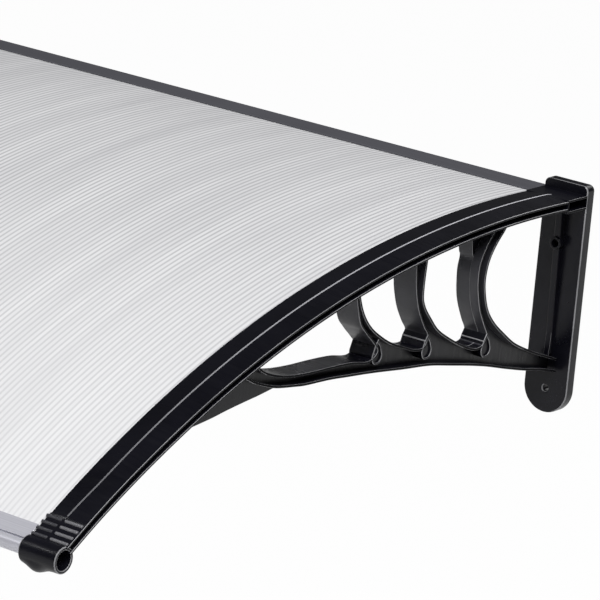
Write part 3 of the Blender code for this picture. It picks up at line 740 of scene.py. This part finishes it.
def lattice():
    """Lower member and struts: a web with a rim round each opening and a flange along the lower edge."""
    inside_beam = -FLANGE - LATTICE_IN_BEAM
    under = -BEAM_DEPTH + FLANGE / 2
    lower = lattice_line(LOWER_EDGE)
    start, end = LOWER_EDGE[0][0] * ARC_RUN, LOWER_EDGE[-1][0] * ARC_RUN
    outer = beside(lower, LATTICE_FLANGE / 2) + along_arc(end, start, inside_beam)
    half, openings = LATTICE_WIDTH / 2, []
    # The bands' sides get painted shade, their fronts painted soft light, and their rounded edges the
    # painted edge highlight
    bands = [prism([lower + beside(lower, LATTICE_FLANGE)[::-1]], half, SIDE, LATTICE_EDGE, PAINTED_SIDE_SHADE)]
    for shares, outward in OPENINGS:
        lid = [on_arc(shares[-1][0] * ARC_RUN, REAR_OPENING_LID)] if shares is OPENING_REAR else []
        openings.append(beside(lattice_line(shares), outward * LATTICE_FLANGE / 2) + lid)
        parts = [(shares, -half, half)]
        if shares is OPENING_SECOND:
            parts = [(shares, -half, LATTICE_WEB / 2), (SECOND_NEAR, LATTICE_WEB / 2, half)]
        for drawn, left, right in parts:
            line = lattice_line(drawn, under)
            band = line + beside(line, outward * LATTICE_FLANGE)[::-1]
            placed = shifted(SIDE, x=(left + right) / 2)
            bands.append(prism([band], (right - left) / 2, placed, LATTICE_EDGE, PAINTED_SIDE_SHADE, front=PAINTED_SOFT_LIGHT))
    web = prism([outer, *openings], LATTICE_WEB / 2, SIDE, HIDDEN_EDGE)
    edge = lattice_line(GUSSET_EDGE)
    upper = along_arc(GUSSET_EDGE[-1][0] * ARC_RUN, GUSSET_REAR[0][0] * ARC_RUN, under)
    rear = [on_arc(a * ARC_RUN, -b * LATTICE_DEPTH) for a, b in GUSSET_REAR]
    gusset = prism([edge + upper + rear], GUSSET_THICKNESS / 2, SIDE, LATTICE_EDGE)
    return [web, gusset, *bands, *feet()]


def feet():
    """Pear-shaped eyelet at the foot of each strut, and the fold line beside it."""
    half = LATTICE_WIDTH / 2 + FOOT_PROUD
    angles = [FOOT_ARC_START + FOOT_ARC_TURN * step / FOOT_ARC_STEPS for step in range(FOOT_ARC_STEPS + 1)]
    shoulder, shoulder_up = FOOT_SHOULDER
    made = []
    for share_out, share_down in FEET:
        out, up = on_arc(share_out * ARC_RUN, -share_down * LATTICE_DEPTH)
        pear = [(out + FOOT_RADIUS * cos(angle), up + FOOT_RADIUS * sin(angle)) for angle in angles]
        pear += [(out + shoulder, up + shoulder_up), (out + FOOT_PEAK[0], up + FOOT_PEAK[1]),
                 (out - shoulder, up + shoulder_up)]
        hole = [(out + (x - out) * FOOT_HOLE_SHARE, up + (y - up) * FOOT_HOLE_SHARE) for x, y in pear]
        made.append(prism([pear, hole], half, SIDE, FOOT_EDGE))
        made.append(prism([pear], half - FOOT_HOLE_DEPTH, SIDE, HIDDEN_EDGE))
    reach = LATTICE_WIDTH / 2 - FOOT_LINE_SETBACK
    line = [(-reach, 0), (-reach, FOOT_LINE_RADIUS), (reach, FOOT_LINE_RADIUS), (reach, 0)]
    for share_out, share_down in FOOT_LINES:
        placed = across(on_arc(share_out * ARC_RUN, -share_down * LATTICE_DEPTH))
        cuts = [0, FOOT_LINE_EDGE, FOOT_LINE_EDGE, 0]
        # The fold lines are painted with the edge highlight
        made.append(painted(lathe(line, cuts, placed, FOOT_LINE_SIDES), PAINTED_EDGE_LIGHT))
    return made


def bracket(materials):
    beam = swept(beam_section, beam_stations())
    crown = swept(crown_section, [
        CROWN_START + CROWN_LENGTH * index / CROWN_STATIONS for index in range(CROWN_STATIONS + 1)])
    return gathered("bracket", [beam, crown, *wall_plate(), *wall_block(), *nose(), *lattice()], materials)


def mirrored(mesh):
    other = mesh.copy()
    other.transform(Matrix.Scale(-1, 4, (1, 0, 0)))
    other.flip_normals()
    return other


def sheet(materials):
    """Two skins and the webs between them, bent to the roof arc."""
    half = BRACKET_X - BEAM_WEB / 2 - SHEET_SIDE_PLAY
    top = -FLANGE - GAP
    low = top - SHEET_THICKNESS
    count = int((2 * half - FLUTE_WEB) / FLUTE_PITCH)
    first = -count * FLUTE_PITCH / 2
    start, end = SHEET_END_PLAY, front_wall() - SHEET_END_PLAY
    stations = [start + (end - start) * index / SHEET_STATIONS for index in range(SHEET_STATIONS + 1)]
    loops = [[(-half, low), (half, low), (half, top), (-half, top)]]
    for index in range(count):
        left = first + index * FLUTE_PITCH + FLUTE_WEB / 2
        right = left + FLUTE_PITCH - FLUTE_WEB
        loops.append([(left, low + SHEET_SKIN), (left, top - SHEET_SKIN),
                      (right, top - SHEET_SKIN), (right, low + SHEET_SKIN)])
    shape = bmesh.new()
    rings = []
    for at in stations:
        rings.append([[shape.verts.new(place_on_arc(at, a, b)) for a, b in loop] for loop in loops])
    for here, there in zip(rings, rings[1:]):
        for number, (near, far) in enumerate(zip(here, there)):
            for index in range(4):
                other = (index + 1) % 4
                face = shape.faces.new((near[index], far[index], far[other], near[other]))
                # The webs' faces take the second slot: the web material with its painted shade
                across_web = number > 0 and index in (0, 2)
                face.material_index = PAINTED_EDGE_LIGHT if across_web else BODY
    for ring, turned in ((rings[0], False), (rings[-1], True)):
        end_face(shape, ring, turned)
    shape.normal_update()
    return dressed("sheet", shape, materials, SHEET_SHARP)


def end_face(shape, ring, turned):
    """The sheet's cut edge: a face for each web, and a strip below and above the channels."""
    outer, holes = ring[0], ring[1:]
    low_left, low_right, top_right, top_left = outer

    def add(*verts):
        face = shape.faces.new(verts if turned else verts[::-1])
        # The cut edge takes the web material with its painted shade
        face.material_index = PAINTED_EDGE_LIGHT

    for hole, following in zip(holes, holes[1:]):
        add(hole[3], following[0], following[1], hole[2])
    first, last = holes[0], holes[-1]
    add(low_left, first[0], first[1], top_left)
    add(last[3], low_right, top_right, last[2])
    lows = [vert for hole in holes for vert in (hole[0], hole[3])]
    tops = [vert for hole in holes for vert in (hole[1], hole[2])]
    add(low_left, low_right, *lows[::-1])
    add(top_right, top_left, *tops)


def front_wall():
    """Where the front bar's channel stops the sheet, as a length along the arc."""
    return ARC_RUN - TUBE_RADIUS - FRONT_BACK_WALL


def rear_bar(materials):
    """Extrusion against the wall, with its back cut away at the ends where it passes the plates."""
    low, top = BAR_LOW, BAR_TOP
    stop = PLATE_THICKNESS - GAP
    under_top, over_low = top - BAR_TOP_LIP, low + BAR_LOWER_LIP
    outline = [(0, low), (BAR_DEPTH, low), (BAR_DEPTH, over_low), (stop, over_low),
               (stop, under_top), (BAR_DEPTH, under_top), (BAR_DEPTH, top), (0, top)]
    hollow = [(BAR_BACK_WALL, over_low), (stop - BAR_STOP_WALL, over_low),
              (stop - BAR_STOP_WALL, under_top), (BAR_BACK_WALL, under_top)]
    notch = BRACKET_X - PLATE_WIDTH / 2 - GAP
    made = [prism([outline, hollow], notch, SIDE, BAR_EDGE)]
    face = PLATE_THICKNESS + GAP
    reach = (BAR_HALF - notch + BAR_LIP_OVERLAP) / 2
    for side in (-1, 1):
        placed = shifted(SIDE, x=side * (BAR_HALF - reach))
        for bottom, lid in ((low, over_low), (under_top, top)):
            lip = [(face, bottom), (BAR_DEPTH, bottom), (BAR_DEPTH, lid), (face, lid)]
            made.append(prism([lip], reach, placed, BAR_EDGE / 2))
    return gathered("rear_bar_looks", made, materials)


def front_bar(materials):
    """Channel that holds the sheet's front edge, with the tube that runs into both noses."""
    wall = front_wall()
    start = wall - FRONT_LIP + FRONT_BACK_WALL / 2
    top, low = -FLANGE, -FLANGE - SLOT_HEIGHT
    over, under = top + FRONT_LIP_THICKNESS, low - FRONT_LIP_THICKNESS
    end = ARC_RUN - FRONT_SETBACK
    middle = (start + wall) / 2
    corners = [
        (start, over), (middle, over), (wall, over), (end, over),
        (end, under), (wall, under), (middle, under), (start, under),
        (start, low), (middle, low), (wall, low), (wall, top), (middle, top), (start, top)]
    outline = [on_arc(run, above) for run, above in corners]
    channel = prism([outline], BRACKET_X - NOSE_INNER - GAP, SIDE, BAR_EDGE)
    tube = BRACKET_X + BEAM_WEB / 2
    bore = TUBE_RADIUS - TUBE_WALL
    corners = [(-tube, TUBE_RADIUS), (tube, TUBE_RADIUS), (tube, bore), (-tube, bore)]
    pipe = lathe(corners, [TUBE_EDGE] * 4, across(on_arc(ARC_RUN, -NOSE_DROP)), TUBE_SIDES)
    return gathered("front_bar_looks", [channel, pipe], materials)


class Shader:
    """Short calls that add nodes to one material."""

    def __init__(self, name):
        self.material = bpy.data.materials.new(name)
        self.material.use_nodes = True
        self.tree = self.material.node_tree
        self.surface = self.tree.nodes["Principled BSDF"]

    def node(self, kind, inputs=None, **settings):
        made = self.tree.nodes.new(kind)
        for key, value in settings.items():
            setattr(made, key, value)
        for key, value in (inputs or {}).items():
            if isinstance(value, bpy.types.NodeSocket):
                self.tree.links.new(value, made.inputs[key])
            else:
                made.inputs[key].default_value = value
        return made

    def set(self, **values):
        for key, value in values.items():
            socket = self.surface.inputs[key.replace("_", " ")]
            if isinstance(value, bpy.types.NodeSocket):
                self.tree.links.new(value, socket)
            else:
                socket.default_value = value

    def math(self, operation, *values):
        return self.node("ShaderNodeMath", dict(enumerate(values)), operation=operation).outputs[0]

    def place(self, scale=(1, 1, 1)):
        place = self.node("ShaderNodeTexCoord").outputs["Object"]
        return self.node("ShaderNodeMapping", {"Vector": place, "Scale": scale}).outputs[0]

    def noise(self, place, scale, detail=3.0, roughness=0.5):
        return self.node("ShaderNodeTexNoise", {
            "Vector": place, "Scale": scale, "Detail": detail, "Roughness": roughness}).outputs["Fac"]

    def spread(self, value, low, high, from_low=0.3, from_high=0.7):
        return self.node("ShaderNodeMapRange", {
            "Value": value, "From Min": from_low, "From Max": from_high,
            "To Min": low, "To Max": high}).outputs[0]

    def mixed(self, factor, first, second):
        made = self.node("ShaderNodeMix", data_type="RGBA")
        self.tree.links.new(factor, made.inputs["Factor"])
        for socket, colour in ((made.inputs[6], first), (made.inputs[7], second)):
            if isinstance(colour, bpy.types.NodeSocket):
                self.tree.links.new(colour, socket)
            else:
                socket.default_value = (*colour, 1.0)
        return made.outputs[2]

    def bump(self, height, strength, distance, normal=None):
        inputs = {"Height": height, "Strength": strength, "Distance": distance}
        if normal is not None:
            inputs["Normal"] = normal
        return self.node("ShaderNodeBump", inputs).outputs["Normal"]


def moulded_plastic(name, dark, light, rough, specular, highlight_fades_ahead=False):
    """Black moulding with flow marks, a fine grain and small scuffs; for a painted highlight that is
    fading, darker to the front.
    """
    shader = Shader(name)
    place = shader.place()
    clouds = shader.noise(place, 14.0, detail=4.0)
    flow = shader.noise(shader.place((30, 260, 30)), 1.0, detail=4.0, roughness=0.6)
    grain = shader.noise(place, 2600.0, detail=2.0)
    scuffs = shader.noise(shader.place((900, 120, 900)), 1.0, roughness=0.7)
    tone = shader.spread(clouds, 0.0, 1.0)
    # Painted highlight: light near the wall, going dark towards the front
    if highlight_fades_ahead:
        depth = shader.node("ShaderNodeSeparateXYZ", {"Vector": place}).outputs["Y"]
        tone = shader.spread(depth, 0.0, 1.0, *HIGHLIGHT_FADE_DEPTH)
    shader.set(
        Base_Color=shader.mixed(tone, dark, light),
        Roughness=shader.spread(flow, *rough),
        Specular_IOR_Level=specular,
        Normal=shader.bump(grain, 0.12, 0.0002, normal=shader.bump(scuffs, 0.10, 0.0003)))
    return shader.material


def drawn_aluminium(name, dark, light, rough, bump, metallic):
    """Anodised extrusion with die lines along its length."""
    shader = Shader(name)
    lines = shader.noise(shader.place((0.6, 900, 900)), 1.0, detail=4.0, roughness=0.6)
    clouds = shader.noise(shader.place(), 9.0)
    grain = shader.noise(shader.place(), 3200.0, detail=2.0)
    shader.set(
        Base_Color=shader.mixed(shader.spread(lines, 0.0, 1.0), dark, light),
        Metallic=metallic,
        Roughness=shader.spread(clouds, *rough),
        Normal=shader.bump(lines, bump, 0.0002, normal=shader.bump(grain, 0.05, 0.0001)))
    return shader.material


def zinc(name):
    """Plated steel with small dull stains."""
    shader = Shader(name)
    stains = shader.noise(shader.place(), 700.0, detail=4.0)
    shader.set(
        Base_Color=shader.mixed(shader.spread(stains, 0.0, 1.0), (0.42, 0.42, 0.40), (0.62, 0.62, 0.64)),
        Metallic=1.0,
        Roughness=shader.spread(stains, 0.25, 0.45),
        Normal=shader.bump(stains, 0.15, 0.0001))
    return shader.material


def twin_wall(name, line, dark, light, alpha, rough):
    """Milky clear plastic: a grey line of painted shade over every web, and soft streaks along the
    channels.
    """
    shader = Shader(name)
    flutes = shader.place((1 / FLUTE_PITCH, 1, 1))
    split = shader.node("ShaderNodeSeparateXYZ", {"Vector": flutes}).outputs["X"]
    from_web = shader.math("ABSOLUTE", shader.math("SUBTRACT", shader.math("FRACT", split), 0.5))
    open_share = shader.spread(from_web, 0.0, 1.0, *FLUTE_SHADE_LINE)
    streaks = shader.noise(shader.place((26, 2.2, 2.2)), 1.0, detail=4.0, roughness=0.6)
    fine = shader.noise(shader.place((170, 4, 4)), 1.0)
    clouds = shader.noise(shader.place((3.0, 1.2, 1.2)), 1.0)
    tone = shader.spread(streaks, 0.0, 1.0)
    body = shader.mixed(shader.spread(fine, 0.0, 0.25), shader.mixed(tone, dark, light), line)
    depth = shader.node("ShaderNodeSeparateXYZ", {"Vector": shader.place()}).outputs["Y"]
    ahead = shader.spread(depth, PALE_SHARE, 0.0, *PALE_DEPTH)
    # Painted shade: a grey line over each web, paler towards the front
    painted_web_shade = shader.mixed(ahead, line, light)
    shader.set(
        Base_Color=shader.mixed(open_share, painted_web_shade, shader.mixed(ahead, body, light)),
        Roughness=shader.spread(clouds, *rough),
        Specular_IOR_Level=0.25,
        Alpha=alpha,
        Normal=shader.bump(open_share, 0.12, 0.0002))
    return shader.material


def flat_stage(name, colour, glow):
    """A pale floor that keeps the object's shadow and looks white to the camera and in metal and glass."""
    shader = Shader(name)
    shader.tree.nodes.remove(shader.surface)
    matte = shader.node("ShaderNodeBsdfDiffuse", {"Color": (*colour, 1.0)}).outputs[0]
    white = shader.node("ShaderNodeEmission").outputs[0]
    path = shader.node("ShaderNodeLightPath").outputs
    seen = shader.math("MAXIMUM", path["Is Camera Ray"], path["Is Glossy Ray"])
    through = shader.math("MAXIMUM", seen, path["Is Transmission Ray"])
    share = shader.math("MULTIPLY", through, glow)
    mix = shader.node("ShaderNodeMixShader", {0: share, 1: matte, 2: white}).outputs[0]
    shader.tree.links.new(mix, shader.tree.nodes["Material Output"].inputs["Surface"])
    return shader.material


def floor(height, size):
    mesh = bpy.data.meshes.new("floor")
    half = size / 2
    mesh.from_pydata(
        [(-half, -half, height), (half, -half, height), (half, half, height), (-half, half, height)],
        [], [(0, 1, 2, 3)])
    mesh.materials.append(flat_stage("floor_paint", FLOOR_COLOUR, FLOOR_GLOW))
    obj = bpy.data.objects.new("floor", mesh)
    bpy.context.scene.collection.objects.link(obj)


def lamp(name, place, size, power):
    data = bpy.data.lights.new(name, "AREA")
    data.shape = "RECTANGLE"
    data.size, data.size_y = size
    data.energy = power
    obj = bpy.data.objects.new(name, data)
    obj.location = place
    obj.rotation_euler = (Vector(LAMP_TARGET) - Vector(place)).to_track_quat("-Z", "Y").to_euler()
    bpy.context.scene.collection.objects.link(obj)


def world(strength):
    made = bpy.data.worlds.new("studio")
    bpy.context.scene.world = made
    made.use_nodes = True
    background = made.node_tree.nodes["Background"]
    background.inputs["Color"].default_value = (1.0, 1.0, 1.0, 1.0)
    background.inputs["Strength"].default_value = strength


def camera():
    """Camera of the photograph: far off, with a long lens, looking down a little."""
    data = bpy.data.cameras.new("camera")
    data.sensor_width = CAMERA_SENSOR
    data.lens = CAMERA_LENS
    data.clip_start, data.clip_end = CAMERA_REACH
    obj = bpy.data.objects.new("camera", data)
    flat = cos(CAMERA_PITCH)
    ahead = Vector((sin(CAMERA_YAW) * flat, cos(CAMERA_YAW) * flat, sin(CAMERA_PITCH)))
    level = ahead.cross(Vector((0, 0, 1))).normalized()
    upright = level.cross(ahead)
    right = level * cos(CAMERA_ROLL) + upright * sin(CAMERA_ROLL)
    up = -level * sin(CAMERA_ROLL) + upright * cos(CAMERA_ROLL)
    turn = Matrix((right, up, -ahead)).transposed()
    obj.matrix_world = Matrix.Translation(CAMERA_PLACE) @ turn.to_4x4()
    bpy.context.scene.collection.objects.link(obj)
    bpy.context.scene.camera = obj


# The black moulding, in the order of the material slots; the later ones are painted highlights, painted
# shade and painted soft light
bracket_materials = [
    moulded_plastic("moulded_black", dark=(0.0026, 0.0026, 0.0046), light=(0.0052, 0.0052, 0.0086),
                    rough=(0.24, 0.40), specular=0.21),
    moulded_plastic("moulded_black_edge_highlight", dark=(0.15, 0.15, 0.16), light=(0.30, 0.30, 0.31),
                    rough=(0.24, 0.38), specular=0.50),
    moulded_plastic("moulded_black_crest_highlight", dark=(0.14, 0.14, 0.15), light=(0.62, 0.62, 0.66),
                    rough=(0.24, 0.38), specular=0.50, highlight_fades_ahead=True),
    moulded_plastic("moulded_black_side_shade", dark=(0.0015, 0.0015, 0.0022), light=(0.0030, 0.0030, 0.0042),
                    rough=(0.40, 0.55), specular=0.04),
    moulded_plastic("moulded_black_soft_light", dark=(0.022, 0.022, 0.027), light=(0.045, 0.045, 0.052),
                    rough=(0.30, 0.42), specular=0.35)]
bracket_mesh = bracket(bracket_materials)
piece("bracket_right_looks", bracket_mesh, "bracket_right", BRACKET_X)
piece("bracket_left_looks", mirrored(bracket_mesh), "bracket_left", -BRACKET_X)

# Both sheet materials carry painted shade: a grey line over each web, and the greyer web material
skin = twin_wall("sheet_skin", line=(0.50, 0.50, 0.52), dark=(0.76, 0.76, 0.775), light=(0.90, 0.90, 0.91),
                 alpha=0.82, rough=(0.26, 0.40))
web = twin_wall("sheet_web_shade", line=(0.30, 0.31, 0.33), dark=(0.36, 0.37, 0.39), light=(0.50, 0.51, 0.53),
                alpha=0.85, rough=(0.30, 0.45))
piece("roof_sheet_looks", sheet([skin, web]), "roof_sheet")

grey = drawn_aluminium("rear_bar_grey", dark=(0.080, 0.080, 0.094), light=(0.115, 0.115, 0.132),
                       rough=(0.34, 0.46), bump=0.10, metallic=0.25)
# A lighter copy of the grey for the rounded edges: a painted highlight
grey_highlight = drawn_aluminium("rear_bar_edge_highlight", dark=(0.16, 0.165, 0.18), light=(0.24, 0.245, 0.26),
                            rough=(0.30, 0.40), bump=0.05, metallic=0.4)
piece("rear_bar_looks", rear_bar([grey, grey_highlight]), "rear_bar")

silver = drawn_aluminium("front_bar_silver", dark=(0.47, 0.47, 0.52), light=(0.56, 0.56, 0.61),
                         rough=(0.34, 0.44), bump=0.06, metallic=0.30)
# A lighter copy of the silver for the rounded edges: a painted highlight
silver_highlight = drawn_aluminium("front_bar_edge_highlight", dark=(0.66, 0.66, 0.70), light=(0.78, 0.78, 0.82),
                              rough=(0.26, 0.36), bump=0.04, metallic=0.3)
piece("front_bar_looks", front_bar([silver, silver_highlight]), "front_bar")

screw_finish = zinc("screw_zinc")
for node in ("rear_screw_right", "rear_screw_left"):
    for material_slot in frame["nodes"][node].material_slots:
        material_slot.material = screw_finish

camera()
world(WORLD_STRENGTH)
floor(FLOOR_HEIGHT, FLOOR_SIZE)
for name, place, size, power in LAMPS:
    lamp(name, place, size, power)
bpy.context.scene.view_settings.view_transform = "Standard"
